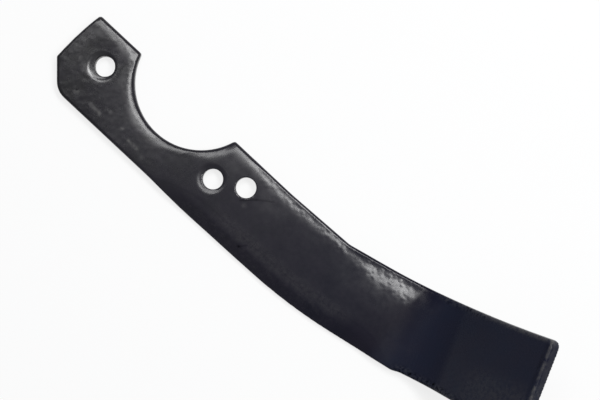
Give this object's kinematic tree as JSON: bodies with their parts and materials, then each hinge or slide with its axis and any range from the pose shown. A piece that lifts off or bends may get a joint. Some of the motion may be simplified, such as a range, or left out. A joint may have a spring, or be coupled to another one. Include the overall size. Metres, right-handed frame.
{
  "type": "rotary tiller blade",
  "caption": "Bent steel tine for a garden tiller's rotor: a flat strip with a round notch for the rotor tube, bolt holes, a forged cutting edge and an upturned tip.",
  "frame": {"origin": "centre of the first bolt hole, on the blade's flat back face", "axes": "+X along the flat strip from the head to the tip, +Y out of the round notch towards the rotor's axis, +Z out of the painted face, the way the tip rises"},
  "size_m": [0.2369, 0.0639, 0.0492],
  "materials": {
    "blade_paint": "black satin paint over forged steel, worn and scuffed"
  },
  "bodies": {
    "root": {"tiller_blade": "blade_paint"}
  },
  "joints": []
}
